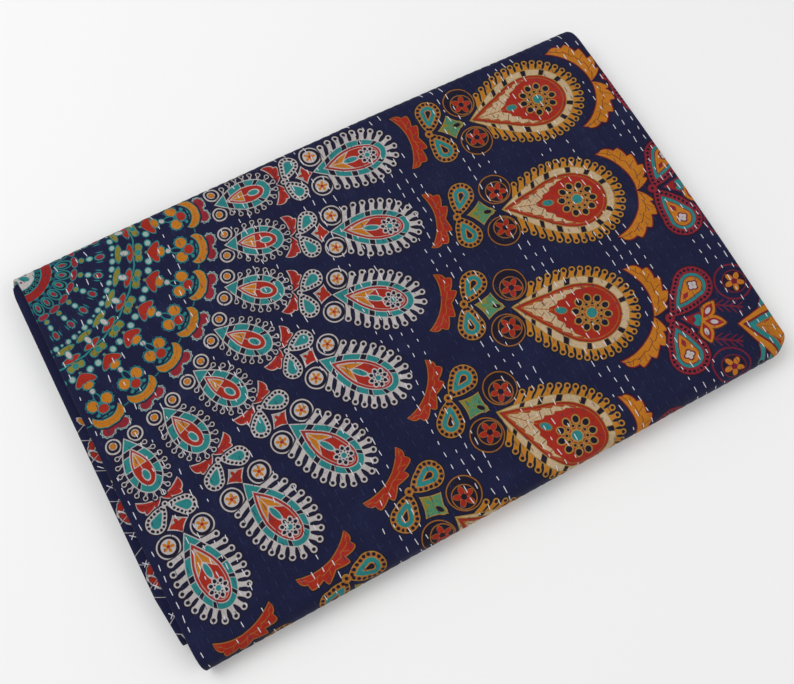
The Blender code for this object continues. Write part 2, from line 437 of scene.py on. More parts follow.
def makeFeather():
    # a drop with sine flanks up to its widest and an elliptic end; its outline's distance is
    # measured across the flank and around the end, and the way along the line of its beads,
    # R(t - e sin 2t) around the end, counts loops and squares
    motif = Motif("feather", gives="colour depth fromTip scale", table=feathers)
    along, across = motif.takes
    tip, length, half = motif.sizes("tip length half")
    band, blunt, opening = motif.sizes("band blunt opening")
    shoulder, crowdFrom, crowdBy = motif.sizes("shoulder crowdFrom crowdBy")
    lineWide, flankStretch, leastRise = 0.9, 1.05, 0.004
    x = along - tip
    widest = length * shoulder
    rise = (x / widest).within(leastRise)
    turn = rise.power(blunt) * (math.pi / 2)
    flank = half * turn.sine()
    slope = turn.cosine() * rise.power(blunt - 1.0) * blunt * half / widest * (math.pi / 2)
    flankWay = (across - flank) / (slope * slope + 1.0).root()
    past = (x - widest).most(0.0)
    endLength = length - widest
    squash = half / endLength
    pastRound = past * squash
    ring = hypot(pastRound, across)
    pastSteep = pastRound * squash
    steep = hypot(pastSteep, across).most(0.01)
    endWay = (ring - half) * ring / steep
    distance = (flankWay * x.under(widest) + endWay * x.over(widest)).most(x * -3.0)
    reach = ((endLength * endLength + half * half) * 0.5).root()
    loopOut, loopRadius, neck = motif.sizes("loopOut loopRadius neck")
    away = endWay.most(0.0) / reach
    turned = (across / (half + away * endLength)).turnFrom(past / (endLength + away * half))
    beadLong, beadHigh = endLength + loopOut, half + loopOut
    longSquare, highSquare = beadLong * beadLong, beadHigh * beadHigh
    oval = (longSquare - highSquare) / (longSquare + highSquare) * 0.25
    beadReach = reach + loopOut
    way = (turned - (turned * 2.0).sine() * oval) * beadReach + (widest - x).most(0.0) * flankStretch

    # each loop is drawn in its own frame, out from its root on the outline
    loopPitch, loopPhase, loopLast = motif.sizes("loopPitch loopPhase loopLast")
    index = ((way + distance.most(0.0) * 0.10) / loopPitch + loopPhase).maths("ROUND")
    loopWay = (index - loopPhase) * loopPitch
    evenTurn = (loopWay / beadReach).least(math.pi / 2)
    loopTurn = evenTurn + (evenTurn * 2.0).sine() * oval
    loopX = widest - (loopWay - beadReach * (math.pi / 2)).most(0.0) / flankStretch
    rootX = x - loopX - loopTurn.cosine() * endLength
    rootTurn = (loopX / widest).most(leastRise).power(blunt) * (math.pi / 2)
    rootY = across - rootTurn.sine() * loopTurn.sine() * half
    outX = loopTurn.cosine() * squash + 0.10
    outY = loopTurn.sine()
    outSize = hypot(outX, outY)
    out = (rootX * outX + rootY * outY) / outSize
    beside = ((rootY * outX - rootX * outY) / outSize).size()
    standBy, darkUpTo = motif.sizes("standBy darkUpTo")
    stand = loopOut * ((loopX / (widest * -0.8) + 1.0).most(0.0) * standBy + 1.0)
    fromBead = out - stand
    bead = hypot(beside, fromBead) - loopRadius
    share = (out / stand).within()
    flare = motif.sizes("flare")
    root = -share + 1.0
    stalk = (beside - neck - flare * root * root - (loopRadius - neck) * share * share * 0.9).most(fromBead)
    noLoop = (index - loopLast) * 5.0
    loop = bead.least(stalk).most(noLoop)
    motif.lay((loop - 1.3).least(distance - 1.3), "night", 1.0)
    motif.lay(loop, "line")
    motif.lay(loop + 0.8, "loop")
    motif.lay((bead + loopRadius * 0.45).most(noLoop), "night")

    motif.lay(distance, "line")
    darkFirst, darkPitch, darkHalf = motif.sizes("darkFirst darkPitch darkHalf")
    crowded = way + (way - crowdFrom).most(0.0) * crowdBy
    fromDark = (crowded - darkFirst).toNearest(darkPitch)
    early = (darkFirst - darkHalf - 1.0 - way).most(length * darkUpTo - x)
    dark = (fromDark - darkHalf).most(early).most(distance + lineWide)
    motif.lay(distance + lineWide, "fill")
    motif.lay(dark - 0.7, "line")
    motif.lay(dark, "night")
    taper = (x / (length * 0.33) + opening).least(1.0)
    depth = distance + band * taper
    motif.lay(depth, "line")
    return motif.close(depth, x, length / heartLength)


def makeRosette():
    # a ring of round petals about a hub, folded by the angle between two petals; sizes are shares
    # of the radius
    motif = Motif("rosette", "x y radius petals petalOut petalSize rim below line")
    x, y, radius, petals, petalOut, petalSize, rim, line = motif.takes
    out = hypot(x, y) / radius
    fold = (y.turnFrom(x) * petals / (2 * math.pi)).toNearest(1.0)
    aside = fold / petals * (2 * math.pi) * out
    fromPetal = out - petalOut
    petal = hypot(fromPetal, aside, 1.2) - petalSize
    spoke = (aside - rim * 0.45).most(out - petalOut)
    between = (-fold + 0.5) / petals * (2 * math.pi) * out
    fromSeed = out - petalOut * 0.62
    seed = hypot(fromSeed, between) - petalSize * 0.42
    motif.lay((petal - rim).least(spoke) * radius, line)
    motif.lay((seed - rim * 0.6) * radius, line)
    motif.lay(petal.least(seed) * radius, "night")
    motif.lay((out - 0.33) * radius, line)
    motif.lay((out - 0.25) * radius, "teal")
    return motif.close()


def ovalWay(x, y, middle, a, b):
    # roughly the distance to an ellipse on the axis
    dx, dy = (x - middle) / a, y / b
    return (hypot(dx, dy) - 1.0) * min(a, b)


def petalSide(x, y, half, out):
    # how far aside of the nearest petal's middle, where twice half of them stand about a hub
    return (y.turnFrom(x) * half / math.pi).toNearest(1.0) * (math.pi / half) * out


def makeSmallHeart():
    # the first ring's heart: a red rim, an orange half towards the tip and a teal seed
    motif = Motif("smallHeart", "x y depth below")
    x, y, depth = motif.takes
    motif.lay(depth + 0.9, "red")
    motif.lay((depth + 2.3).most(x - 27.6), "cream")
    motif.lay((depth + 3.1).most(x - 27.0), "mustard")
    motif.lay((y - 0.3).most(depth + 3.1).most(x - 31.0), "cream")
    seed = ovalWay(x, y, 37.0, 5.6, 3.3)
    motif.lay(seed, "cream")
    motif.lay(seed + 0.8, "teal")
    return motif.close()


def makeMiddleHeart(rosette):
    # the second ring's heart: a red rim, two mustard leaves, a teal seed and a rosette
    motif = Motif("middleHeart", "x y depth below")
    x, y, depth = motif.takes
    motif.lay(depth + 0.8, "crimson")
    motif.lay(depth + 1.2, "red")
    motif.lay(depth + 2.7, "cream")
    motif.lay(depth + 3.15, "red")
    leaf = ((x - 29.0 - y) * 0.71).most(x - 38.5).most(depth + 3.2)
    motif.lay(leaf, "cream")
    motif.lay(leaf + 0.6, "mustard")
    vein = ((x - 22.0 - y * 1.3).size() * 0.6 - 0.2).most(leaf + 0.6)
    motif.lay(vein, "gold")
    motif.lay((y - 0.3).most(leaf + 0.6), "cream")
    seed = ovalWay(x, y, 37.0, 8.5, 3.0)
    motif.lay(seed, "cream")
    motif.lay(seed + 0.7, "teal")
    motif.colour = useGroup(rosette, x - 53.5, y, 9.0, 8.0, 0.70, 0.19, 0.13, motif.colour,
                            linearShade("cream"))
    return motif.close()


def makeBigHeart(rosette):
    # the outer rings' heart, drawn for a feather 104 long: a rim, two pale flames from the tip whose
    # edges are sawn into slanting barbs, which fade on the inner side, an inner red drop with sine
    # flanks that closes on the rim, a teal seed and a rosette of ten
    motif = Motif("bigHeart", "x y depth rimShade rimWide flame below")
    x, y, depth, rimShade, rimWide, flameShade = motif.takes
    motif.lay(depth + 0.8, "umber")
    motif.lay(depth + 1.3, rimShade)
    outer = depth + rimWide
    motif.lay(outer, "red")
    barbPitch, flameEnd, widest = 9.5, 82.0, 33.0
    turn = ((x - widest) / widest).within(-1.0) * (math.pi / 2)
    closing = ((x - 61.0) / 24.0).within() * 5.0
    inner = y - turn.sine() * 20.5 - closing
    slant = x * 0.85 + y * 0.50
    saw = (slant / barbPitch).fraction()
    barb = saw - saw.power(8.0)
    notch = barb * ((x - 6.0) / 18.0).within()
    cut = barb * (-((x - 46.0) / 16.0).within() + 1.0)
    flame = (outer + 0.3 + notch * 2.6).most(-inner + 2.4 - cut * 4.0).most(x - flameEnd)
    motif.lay(outer.size() - 0.35, "gold")
    motif.lay((flame - 0.5).most(outer + 0.3), "gold")
    motif.lay(flame, flameShade)
    stroke = (slant + 3.0).toNearest(barbPitch) - 0.34
    motif.lay(stroke.most(flame + 0.3).most(-y + 3.0).most(outer + 2.6 - y * 0.1), "umber")
    rib = (y - 0.4).most(x - 36.0).most(outer + 0.2)
    motif.lay(rib, "gold")
    vein = ((x - y * 0.9).toNearest(4.2) - 0.22).most(flame + 0.8).most(y - 7.0)
    motif.lay(vein, "gold")
    seed = ovalWay(x, y, 43.0, 4.8, 2.9)
    motif.lay(seed - 0.7, "gold")
    motif.lay(seed, "teal")
    motif.colour = useGroup(rosette, x - 70.0, y, 17.8, 10.0, 0.80, 0.165, 0.07, motif.colour,
                            linearShade("khaki"))
    return motif.close()


# Crescents that open towards the middle, about a point on the axis; angles in radians
crescents = dict(
    upTo=(180, 300, 480, 720), centre=(143.4, 207.5, 323, 511.5, 750), radius=(13.8, 31, 46.5, 46.8, 68),
    horn=(1.05, 0.68, 0.62, 1.18, 1.18), thick=(7.6, 9.4, 9.6, 14.6, 21), tooth=(0.4, 1.9, 5, 4.4, 6),
    toothTurn=(0.35, 0.225, 0.232, 0.2234, 0.2234), notch=(0.0005, 0.4, 0.0005, 0.3, 0.3),
    rim=(0.8, 0.9, 0.9, 1.1, 1.4), line="teal cream gold crimson cream",
    fill="mustard red red mustard teal", vein="amber crimson gold umber deepTeal",
)


def makeCrescent():
    # a band outside a circle; at an angle t it is thick (1 - (t / horn)^6), less in the notch on the
    # axis, and stands out in teeth, f - f^16 of each tooth's share f
    motif = Motif("crescent", table=crescents)
    along, across = motif.takes
    centre, radius, horn = motif.sizes("centre radius horn")
    thick, tooth, toothTurn = motif.sizes("thick tooth toothTurn")
    notch, rim = motif.sizes("notch rim")
    toothGain, ribHeight = 1.28, 0.42
    x = along - centre
    out = hypot(x, across)
    turn = across.turnFrom(x)
    share = (turn / horn).power(2.0)
    taper = share * share * share * -1.0 + 1.0
    cell = (turn / toothTurn).fraction()
    drop = cell.power(15.0)
    swell = (turn / notch).least(1.0).power(0.65)
    wide = (thick * swell + (cell - drop * cell) * tooth * toothGain) * taper
    slope = (drop * -16.0 + 1.0) * tooth * toothGain / (toothTurn * radius)
    steep = (slope * slope + 1.0).root().least(2.5)
    hollow = radius - out
    shape = ((out - radius - wide) / steep).most(hollow)
    motif.lay(shape - 1.2, "night", 1.0)
    motif.lay(shape, "line")
    motif.lay(shape + rim, "fill")
    height = -hollow / wide.most(0.5)
    midrib = ((height - ribHeight) * wide).size() - 0.32
    branch = (turn / toothTurn - height * 0.55).toNearest(1.0) * toothTurn * out - 0.30
    branch = branch.most(-height + ribHeight)
    vein = branch.least(midrib).most(shape + rim + 1.2)
    motif.lay(vein, "vein")
    return motif.close()


# Four-pointed stars between the drop pairs and the next feather's tip
stars = dict(
    upTo=(330, 520, 780), middle=(265.5, 412.5, 609, 880), reach=(8.6, 14, 0.5, 23),
    side=(10, 13.2, 0.5, 20), lobe=(0.01, 4.2, 0.01, 0.01), line="cream khaki gold cream",
    fill="red leaf mustard red", back="pale olive crimson teal", petalLine="red olive crimson cream",
    petal="red leaf cream mustard", heart="red night crimson teal",
)


def makeStar():
    # |x/a|^0.84 + |y/b|^0.84 < 1 joined to an oval away from the middle, with another dye towards the
    # middle and four small petals
    motif = Motif("star", table=stars)
    along, across = motif.takes
    middle, reach, side = motif.sizes("middle reach side")
    x = (along - middle) / reach
    y = across / side
    lobe = motif.sizes("lobe")
    lobeX = (along - middle - reach * 0.44) / (lobe * 1.5)
    lobeY = across / lobe
    pinch = 0.84
    shape = (x.size().power(pinch) + y.power(pinch) - 1.0) * reach * 0.75
    shape = shape.least((hypot(lobeX, lobeY) - 1.0) * lobe)
    motif.lay(shape - 1.2, "night", 1.0)
    motif.lay(shape, "line")
    motif.lay(shape + 0.9, "fill")
    motif.lay((shape + 1.2).most((x + 0.22) * reach), "back")
    out = hypot(x, y)
    aside = petalSide(x, y, 2.0, out)
    fromPetal = out - 0.34
    petal = (hypot(fromPetal, aside, 3.0) - 0.2) * reach
    motif.lay((petal - 0.6).most(shape + 1.0), "petalLine")
    motif.lay(petal.most(shape + 1.0), "petal")
    eyeX, eyeY = (x - 0.42) / 0.26, y / 0.15
    eye = (hypot(eyeX, eyeY) - 1.0) * reach * 0.15
    motif.lay(eye - 0.6, "petalLine")
    motif.lay(eye, "heart")
    return motif.close()


def makeLotus():
    # the third ring's flower: three pointed petals with sine flanks, folded by their angle, on a
    # crimson dome with a teal moon, and a barbed sprig on each side
    motif = Motif("lotus")
    along, across = motif.takes
    side = across - 16.0
    apart = side.size()
    barb = (along - apart * 1.1).toNearest(6.2) - 0.75
    sprig = barb.least(apart - 0.75).most(apart - 6.0).most(-along + 613.0).most(along - 638.0)
    motif.lay(sprig, "crimson")
    x = along - 602.0
    dome = (across - (along - 583.0) * 0.52).most(along - 606.0).most(across - 10.0)
    motif.lay(dome, "crimson")
    motif.lay(dome + 1.2, "brick")
    moon = ovalWay(along, across, 598.2, 4.4, 5.6)
    motif.lay(moon - 0.6, "crimson")
    motif.lay(moon.most(-ovalWay(along, across, 593.8, 2.6, 3.0)), "teal")
    out = hypot(x, across)
    turn = across.turnFrom(x)
    petalTurn = 1.12
    lean = (turn / petalTurn).toNearest(1.0) * petalTurn
    ahead, aside = out * lean.cosine(), out * lean.sine()
    reach = (ahead / 22.0).within() * math.pi
    behind = (turn - 1.70) * 9.0
    petal = (aside - reach.sine() * 5.7 - 0.3).most(behind).most(ahead - 21.5)
    motif.lay(petal - 1.1, "umber")
    motif.lay(petal, "mustard")
    motif.lay(petal + 2.4, "brick")
    seed = ovalWay(ahead, aside, 11.0, 3.4, 1.9).most(behind)
    motif.lay(seed - 0.7, "berry")
    motif.lay(seed, "cream")
    return motif.close()


# Pairs of drops that lean out from the axis, with a ring of dots
dropPairs = dict(
    upTo=(320, 500, 760), tip=(246.2, 390.6, 574.5, 841), bulb=(255.8, 397.4, 593, 867),
    bulbSide=(14.3, 20.9, 33, 48), radius=(8.6, 12.2, 18.3, 26.6), ring=(3.8, 4.5, 5.8, 8.4),
    core=(9, 4.4, 3.4, 4.6), dotPitch=(3.4, 4.4, 4.1, 6.5), dot=(1.22, 1.55, 1.42, 1.8),
    rim=(0.6, 0.6, 0.8, 1.2), joint=(2.4, 3.7, 4.6, 6.4), jointBack=(0.3, 0.3, 0.2, 0.2),
    blossom=(0.01, 0.01, 3.1, 4.5), line="cream khaki crimson cream", body="cream amber berry teal",
    coreShade="teal teal teal red", seedLine="cream mustard crimson cream",
    seed="pale night mustard mustard",
)


def makeDropPair():
    # a cone tangent to a circle, its flanks bowed out, in the frame of the line from the tip to the
    # bulb, and a bead that joins two on the axis; dots are counted from the tangent point
    motif = Motif("dropPair", table=dropPairs)
    along, across = motif.takes
    tip, bulb, bulbSide = motif.sizes("tip bulb bulbSide")
    radius, ring, core = motif.sizes("radius ring core")
    side = 0.6
    leanX, leanY = bulb - tip, bulbSide - side
    reach = hypot(leanX, leanY)
    px, py = along - tip, across - side
    x = (px * leanX + py * leanY) / reach
    y = ((py * leanX - px * leanY) / reach).size()
    sine = radius / reach
    cosine = (sine * sine * -1.0 + 1.0).root()
    travel = x * cosine + y * sine - reach * cosine
    cx = x - reach
    onRound = travel.over(0.0)
    roundWay = hypot(cx, y) - radius
    share = (travel / (reach * cosine) + 1.0).within()
    coneWay = y * cosine - x * sine - share * (-share + 1.0) * radius * 0.5
    distance = coneWay + (roundWay - coneWay) * onRound
    angle = sine.maths("ARCSINE") + (math.pi / 2) - y.turnFrom(cx)
    roundTravel = angle * (radius - ring * 0.5)
    travel = travel + (roundTravel - travel) * onRound
    rim, dot, dotPitch = motif.sizes("rim dot dotPitch")
    joint, jointBack, blossom = motif.sizes("joint jointBack blossom")
    beadX = along - tip + joint * jointBack
    bead = hypot(beadX, across) - joint
    outline = distance.least(bead)
    motif.lay(outline - 1.3, "night", 1.0)
    motif.lay(outline, "line")
    motif.lay(outline + rim, "body")
    besideDot = travel.toNearest(dotPitch)
    acrossRing = distance + ring * 0.5 + rim * 0.2
    dots = hypot(besideDot, acrossRing) - dot
    motif.lay(dots.most(-bead).least(bead + joint - dot), "night")
    inner = distance + ring
    motif.lay(inner, "line")
    motif.lay(inner + 0.6, "coreShade")
    seed = inner + core
    motif.lay(seed, "seedLine")
    motif.lay(seed + 0.9, "seed")
    out = hypot(cx, y) / blossom
    aside = petalSide(cx, y, 2.0, out)
    petal = ((out - 0.75) * (out - 0.75) + aside * aside * 0.8).root() - 0.62
    motif.lay((petal - 0.45) * blossom, "crimson")
    motif.lay(petal * blossom, "cream")
    flameX = x - reach + blossom * 3.9
    flame = (flameX.size() * 0.5 + y - blossom * 0.75) * 0.9
    motif.lay(flame.most(blossom * -20.0 + 20.0), "berry")
    return motif.close()


# Round flowers in rings beside each tip
roundels = dict(
    upTo=(230, 350, 540, 800), ringAlong=(181.2, 277.4, 429.5, 629, 915),
    ringSide=(10.4, 15.8, 21.5, 39.5, 56), ringRadius=(6.5, 9.9, 15.2, 17, 25),
    hoop=(0.7, 0.6, 0.5, 0.8, 0.8), discAlong=(180.8, 277, 431, 630.5, 918),
    discSide=(10.4, 15.8, 18.8, 40, 56), discRadius=(3.3, 6.2, 10.8, 11, 17),
    shadow="night night night navy navy", line="cream cream gold crimson cream",
    ground="amber cream night night navy", petal="mustard mustard red mustard red",
    heart="mustard red night crimson teal", petalLine="amber cream gold crimson cream",
)


def makeRoundel():
    # a thin ring, and in it a disc of five petals folded by their angle
    motif = Motif("roundel", table=roundels)
    along, across = motif.takes
    ringAlong, ringSide, ringRadius = motif.sizes("ringAlong ringSide ringRadius")
    discAlong, discSide, discRadius = motif.sizes("discAlong discSide discRadius")
    rx, ry = along - ringAlong, across - ringSide
    hoopHalf = motif.sizes("hoop")
    hoop = (hypot(rx, ry) - ringRadius + 0.5).size() - hoopHalf
    motif.lay(hypot(rx, ry) - ringRadius - 1.1, "shadow", 1.0)
    motif.lay(hoop, "line")
    x, y = along - discAlong, across - discSide
    out = hypot(x, y)
    motif.lay(out - discRadius, "line")
    motif.lay(out - discRadius + 0.9, "ground")
    share = out / discRadius
    aside = petalSide(x, y, 2.5, share)
    fromPetal = share - 0.52
    petal = (hypot(fromPetal, aside, 2.0) - 0.31) * discRadius
    petal = petal.most(out - discRadius + 1.1)
    motif.lay(petal - 0.6, "petalLine")
    motif.lay(petal, "petal")
    motif.lay((share - 0.24) * discRadius, "heart")
    return motif.close()


stringReach = 180.0  # the inner strings' tables run this far, in millimetres
bentBeads = dict(
    upTo=(56, 80.5, 91.5, 105, 126, 147), middle=(49.4, 68, 85.8, 95.8, 115.6, 140, 155.5),
    a=(2.5, 0.1, 2.5, 2.6, 4.3, 0.1, 0.5), b=(4.4, 0.1, 7.2, 7.4, 9.2, 0.1, 9.5),
    bend=(-0.22, 0, -0.33, -0.42, 0.5, 0, -0.25), line="teal navy teal teal teal navy teal",
    fill="berry navy olive red red navy teal",
)
axisBeads = dict(
    upTo=(58, 64, 76, 86, 96.5, 108, 113, 119.6, 127.6, 132.6, 143.2, 152.6, 158),
    middle=(55, 61.4, 69.9, 80.5, 91, 103, 110.5, 116, 123.6, 130, 137.2, 148.2, 155, 166),
    a=(1.7, 2.1, 3.2, 0.8, 3.6, 2.7, 0.8, 0.8, 3, 2.3, 4.3, 3.9, 0.3, 2),
    b=(1.7, 1.6, 2, 0.8, 2, 2.6, 0.8, 0.8, 4.2, 1.9, 2, 4.3, 0.3, 3),
    line="teal teal teal teal teal olive teal red teal teal teal teal navy berry",
    fill="olive pale berry pale cream teal olive red mustard cream navy red navy berry",
)
sideBeads = dict(
    # the ninth side holds on to the end
    upTo=(64, 77, 83.6, 98, 100, 107.4, 117, 131, 147.6, 154.5, 159.5),
    middle=(60, 69.9, 80.6, 90, 99, 103.4, 112.2, 126, 141.8, 151.4, 157, 167.4),
    side=(9, 4.3, 5.8, 9.8, 11, 4.9, 8.4, 9, 6.7),
    a=(0.3, 2.8, 1.9, 0.3, 0.4, 3, 2.4, 0.3, 4.8, 0.8, 0.8, 4.4),
    b=(0.3, 0.5, 1.9, 0.3, 4.5, 2.6, 2.3, 0.3, 4.6, 1, 1.2, 5.4),
    line="navy navy teal navy teal teal teal navy teal teal teal pale",
    fill="navy teal pale navy teal olive pale navy mustard teal mustard berry",
)


def makeBeads(name, table):
    # one oval in each stretch of a string, bent by a share of the way across, with a rim whose
    # edge is jagged by its angle
    motif = Motif(name, table=table, reach=stringReach)
    along, across = motif.takes
    middle, a, b = motif.sizes("middle a b")
    x, y = along - middle, across
    if "bend" in table:
        x = x - motif.sizes("bend") * y
    if "side" in table:
        y = y - motif.sizes("side")
    x, y = x / a, y / b
    size = a.least(b)
    beadWay = (hypot(x, y) - 1.0) * size
    away = (along - stringReach + 4.0) * 4.0
    if "bend" not in table:
        jag = (y.turnFrom(x) * (5.0 / math.pi)).toNearest(1.0) * 0.9 - 0.75
        rim = (beadWay + jag * (size * 0.45 + 0.1)).size() - 0.34
        motif.lay(rim.most(away), "line")
    motif.lay((beadWay - 0.5).most(away), "line")
    motif.lay(beadWay.most(away), "fill")
    return motif.close()


# The medallion sits on the folded corner: its brick ring is the print's red with painted shade of the fold's
# slope
medallion = dict(
    upTo=(17.2, 18.2, 22, 22.8, 30.4, 31.4, 34.8), fill="cream teal night teal brick teal deepTeal navy",
)


def makeMedallion():
    # plain rings by their radius, dots on the two teal ones, an oval in each sector
    motif = Motif("medallion", "radius along across angle below", table=medallion, reach=64.0)
    radius, along, across, angle = motif.takes
    petalEnd = 15.5
    rings = motif.column("fill")
    # the brick ring is printed red, darkened with painted shade
    motif.lay(radius - medallion["upTo"][-1], rings)
    petalTurn = (angle * (7.0 / (2 * math.pi))).toNearest(1.0) * (2 * math.pi / 7.0) * radius
    near = radius - 10.0
    petal = (near * near * 0.35 + petalTurn * petalTurn).root() - 2.6
    motif.lay(petal.most(radius - petalEnd), "teal")
    spot = (near * near * 0.5 + (petalTurn - 4.6) * (petalTurn - 4.6)).root() - 0.9
    motif.lay(spot.most(radius - petalEnd), "crimson")
    dotIn = ((radius - 20.1) * (radius - 20.1) + across * across).root() - 1.2
    motif.lay(dotIn.size() - 0.35, "teal")
    dotOut = ((radius - 32.6) * (radius - 32.6) + across * across * 0.6).root() - 1.9
    motif.lay(dotOut, "night")
    outer = ovalWay(along, across, 40.4, 7.0, 4.2)
    motif.lay(outer, "teal")
    motif.lay(outer + 0.9, "night")
    inner = ovalWay(along, across, 39.4, 4.4, 2.3)
    motif.lay(inner, "teal")
    motif.lay(inner + 0.9, "berry")
    return motif.close()


mandala = dict(
    sectors=28, middle=(0.7, -2.2), drift=(2.8, -1.0), driftBy=170.0, wobble=0.9, wobbleScale=70.0,
    # where the cloth slipped under the screen: place, reach and how far, in millimetres
    slips=((520.0, 70.0, 130.0, 4.5, -1.2), (340.0, 115.0, 60.0, 0.3, -3.2), (462.0, 364.0, 62.0, 5.0, 3.6),
           (88.0, 4.0, 48.0, -5.0, 5.0), (70.0, 374.0, 38.0, 0.8, 3.2)),
)


def makeSectorFold():
    # the place on the cloth in millimetres from the mandala's middle, then folded into one sector:
    # along its axis and across it; a slow noise shakes the outlines as a hand-held screen does,
    # each slip shifts the print by exp(-(distance / reach)^2) of its own, and the rings lie off the
    # middle by a pull that grows over the medallion
    group, (place,) = openGroup("sectorFold", "place", "along across radius angle")
    noise = addNode(group, "TexNoise", {"Vector": place, "Scale": mandala["wobbleScale"], "Detail": 1.0})
    shake = addNode(group, "SeparateXYZ", (noise[1],))
    flat = addNode(group, "SeparateXYZ", (place,))
    x = flat[0] * 1000.0 - mandala["middle"][0]
    y = -(flat[1] * 1000.0 - mandala["middle"][1])
    x = x + (shake[0] - 0.5) * mandala["wobble"]
    y = y + (shake[1] - 0.5) * mandala["wobble"]
    for atX, atY, reach, slipX, slipY in mandala["slips"]:
        byX, byY = (x - atX) / reach, (y - atY) / reach
        share = (-(byX * byX + byY * byY)).maths("EXPONENT")
        x, y = x + share * slipX, y + share * slipY
    pull = (hypot(x, y) / mandala["driftBy"]).least(1.0)
    x = x - pull * mandala["drift"][0]
    y = y + pull * mandala["drift"][1]
    radius = hypot(x, y)
    sector = 2 * math.pi / mandala["sectors"]
    angle = y.turnFrom(x)
    local = (angle / sector - 0.5).toNearest(1.0) * sector
    return closeGroup(group, radius * local.cosine(), radius * local.sine(), radius, angle)


hemBorder = dict(
    deep=46.0, plainMiddle=187.0, repeat=58.0, start=10.0, mustardEvery=199.0, mustardStart=-50.0,
)


def makeHemBorder():
    # a band along the four hems: the way along the nearest hem is folded into one repeat, with two
    # red leaves, a teal leaf and a pale stem, and into a longer one with a mustard leaf; the middle
    # of each side is plain
    motif = Motif("hemBorder", "place below")
    flat = addNode(motif.group, "SeparateXYZ", motif.takes)
    gridX, gridY = clothGrid["flatX"] * 1000.0, clothGrid["flatY"] * 1000.0
    x = (flat[0] * 1000.0 - (gridX[0] + gridX[-1]) / 2).size()
    y = (flat[1] * 1000.0 - (gridY[0] + gridY[-1]) / 2).size()
    inX, inY = -x + np.ptp(gridX) / 2, -y + np.ptp(gridY) / 2
    onSide = inX.under(inY)
    along = x + (y - x) * onSide
    inwards = inX.least(inY)
    motif.lay(inwards - hemBorder["deep"], "navy")

    def folded(start, every):
        return ((along - start) / every).fraction() * every

    def leaf(fold, middle, height, long, wide, lean):
        # an oval that leans, its edge cut by its own veins, off the plain middle
        u = fold - middle
        v = inwards - height + u * lean
        oval = ((u * u / (long * long) + v * v / (wide * wide)).root() - 1.0) * wide
        return (oval + (u - v).toNearest(4.0) * 0.3).most(near)

    fold = folded(hemBorder["start"], hemBorder["repeat"])
    near = -along + hemBorder["plainMiddle"]
    mustard = leaf(folded(hemBorder["mustardStart"], hemBorder["mustardEvery"]), 46.0, 7.5, 4.5, 2.6, -0.45)
    motif.lay(mustard - 0.8, "cream")
    motif.lay(mustard, "mustard")
    for middle, lean in ((34.0, 0.5), (44.0, -0.4)):
        red = leaf(fold, middle, 6.0, 6.5, 3.2, lean)
        motif.lay(red - 0.8, "cream")
        motif.lay(red - 0.1, "night")
        motif.lay(red + 0.5, "red")
    stem = ((fold * (4 * math.pi / hemBorder["repeat"])).sine() * 10.0 + 7.0 - inwards) / 1.4
    motif.lay((stem.size() - 0.4).most(near), "cream")
    far = leaf(fold, 22.0, 26.0, 12.0, 7.0, 0.2)
    motif.lay(far - 1.0, "cream")
    motif.lay(far, "teal")
    return motif.close()


def makePrint():
    # the whole print, laid from its ground up; from the fourth ring on the heart's rim is teal and
    # a millimetre wider, and its flame mustard
    fold, rosette = makeSectorFold(), makeRosette()
    group, (place,) = openGroup("mandalaPrint", "place")
    along, across, radius, angle = useGroup(fold, place)
    colour = linearShade("navy")
    for name, table in (("sideBeads", sideBeads), ("bentBeads", bentBeads), ("axisBeads", axisBeads)):
        colour = useGroup(makeBeads(name, table), along, across, colour)
    colour = useGroup(makeMedallion(), radius, along, across, angle, colour)
    for make in (makeCrescent, makeStar, makeLotus, makeDropPair, makeRoundel):
        colour = useGroup(make(), along, across, colour)
    colour, depth, fromTip, scale = useGroup(makeFeather(), along, across, colour)
    first, second = along.under(feathers["upTo"][0]), along.under(feathers["upTo"][1])
    small = useGroup(makeSmallHeart(), fromTip, across, depth, colour)
    colour = mixShade(first, colour, small)
    middle = useGroup(makeMiddleHeart(rosette), fromTip, across, depth, colour)
    colour = mixShade(second - first, colour, middle)
    fourth = along.over(615.0)
    rim = mixShade(fourth, linearShade("red"), "teal")
    flame = mixShade(fourth, linearShade("sand"), "mustard")
    big = useGroup(makeBigHeart(rosette), fromTip / scale, across / scale, depth / scale, rim, fourth + 3.4,
                   flame, colour)
    colour = mixShade(-second + 1.0, colour, big)
    return closeGroup(group, useGroup(makeHemBorder(), place, colour))


def noiseAt(place, scale, detail=2.0, roughness=0.5, stretch=None):
    # a noise over the flat cloth, drawn out by a stretch in U and V
    if stretch:
        place = addNode(place.tree, "Mapping", {"Vector": place, "Scale": stretch + (1.0,)})[0]
    return addNode(place.tree, "TexNoise", {"Vector": place, "Scale": scale, "Detail": detail,
                                            "Roughness": roughness})[0]


def openMaterial(name, specular, roughness=0.5):
    # a material, its tree and its shader
    material = bpy.data.materials.new(name)
    material.use_nodes = True
    shader = material.node_tree.nodes["Principled BSDF"]
    shader.inputs["Roughness"].default_value = roughness
    shader.inputs["Specular IOR Level"].default_value = specular
    return material, material.node_tree, shader


def raiseBump(tree, shader, height, distance):
    # the shader's normal from a height
    bump = addNode(tree, "Bump", {"Height": height, "Distance": distance})
    feed(tree, shader.inputs["Normal"], bump[0])


finish = dict(
    weavePitch=0.0007, blotch=38.0, mottle=330.0, speck=900.0, slub=260.0, crease=150.0, twistPitch=0.0009,
)


